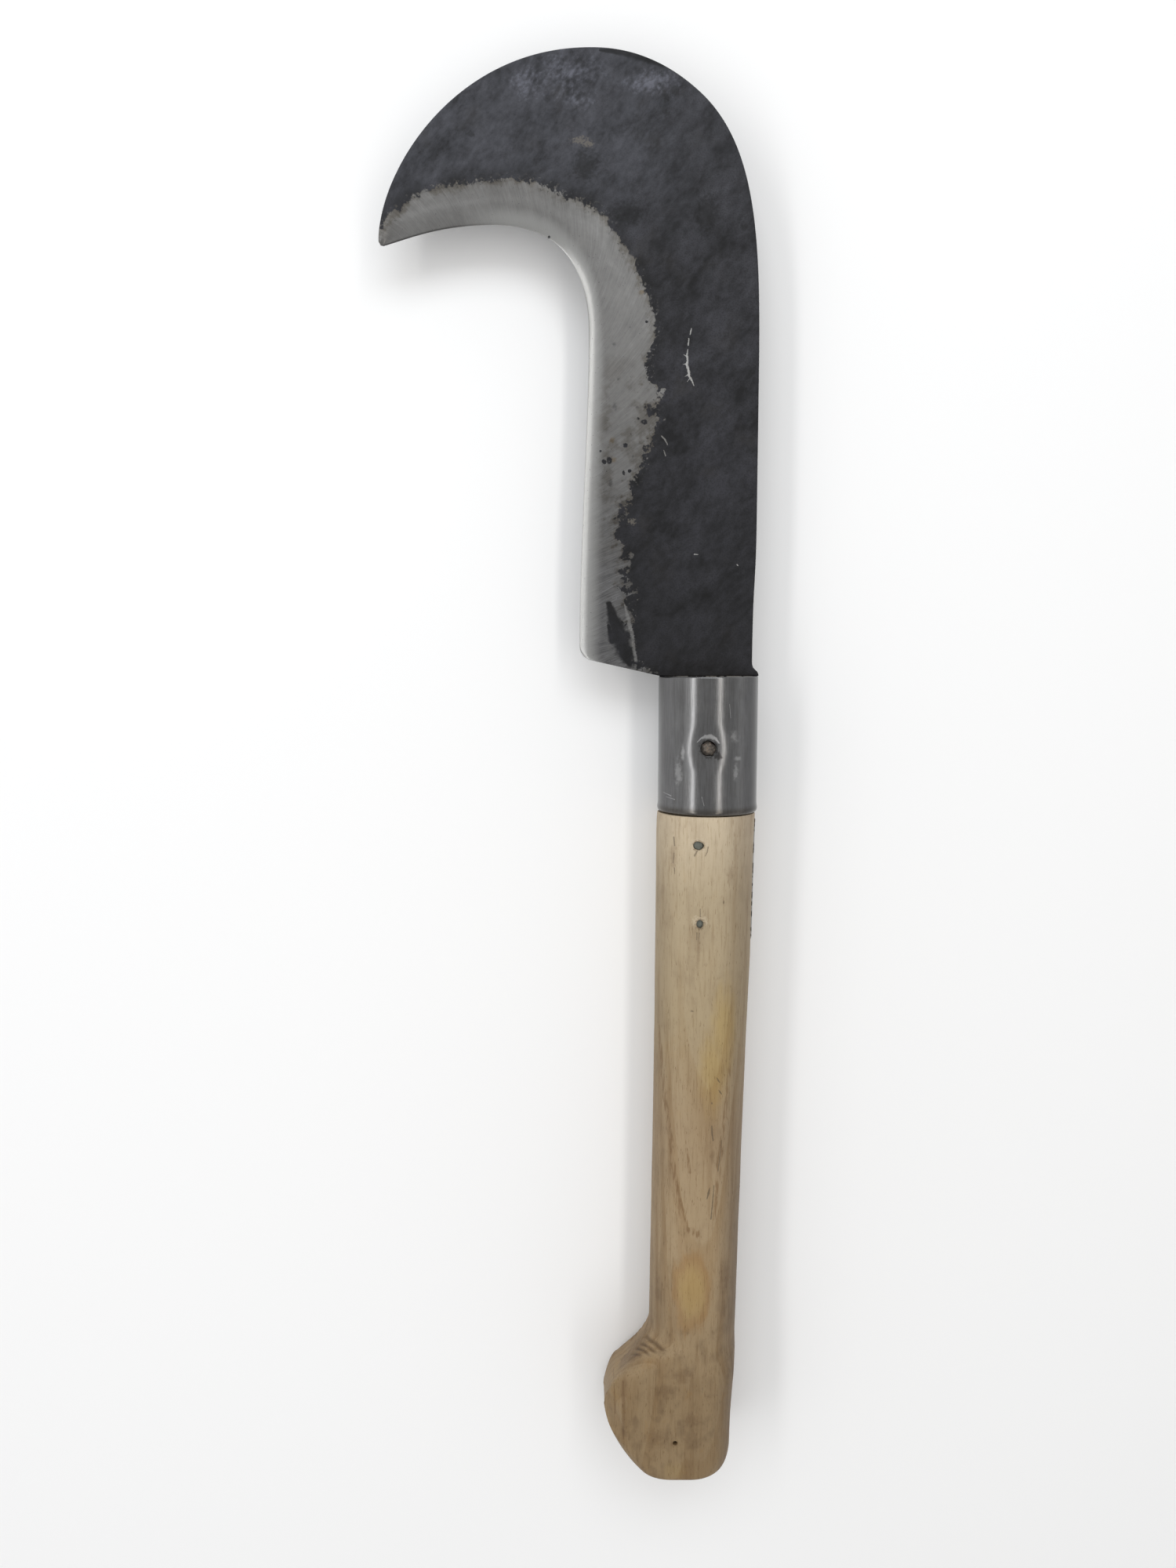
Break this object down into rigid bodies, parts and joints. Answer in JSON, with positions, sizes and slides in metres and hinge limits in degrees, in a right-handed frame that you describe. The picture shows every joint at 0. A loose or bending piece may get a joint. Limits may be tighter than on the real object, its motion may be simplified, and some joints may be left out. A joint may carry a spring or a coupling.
{
  "type": "hooked billhook",
  "caption": "One-hand hooked billhook with a forged, ground blade, a steel tube ferrule, cross pins and a wooden handle with a hooked knob, for cutting brush and branches.",
  "frame": {"origin": "on the handle's axis, in the middle of the blade's thickness, where the blade's shoulder stands on the upper rim of the ferrule", "axes": "+Y along the handle towards the blade, +X towards the back of the blade (the cutting edge faces -X), +Z out of the blade's cheek; the tool lies flat on its side"},
  "size_m": [0.1265, 0.4835, 0.0342],
  "materials": {
    "blade_steel": "black forge scale with a coarse ground bevel along the cutting edge",
    "ferrule_steel": "plain drawn tube, satin",
    "ferrule_pin_steel": "hammered and lightly rusted",
    "handle_pin_steel": "cut wire end, dull",
    "handle_wood": "bare pale hardwood, sanded, slightly soiled"
  },
  "bodies": {
    "root": {"blade": "blade_steel", "ferrule": "ferrule_steel", "ferrule_pin": "ferrule_pin_steel", "upper_handle_pin": "handle_pin_steel", "lower_handle_pin": "handle_pin_steel", "handle": "handle_wood"}
  },
  "joints": []
}
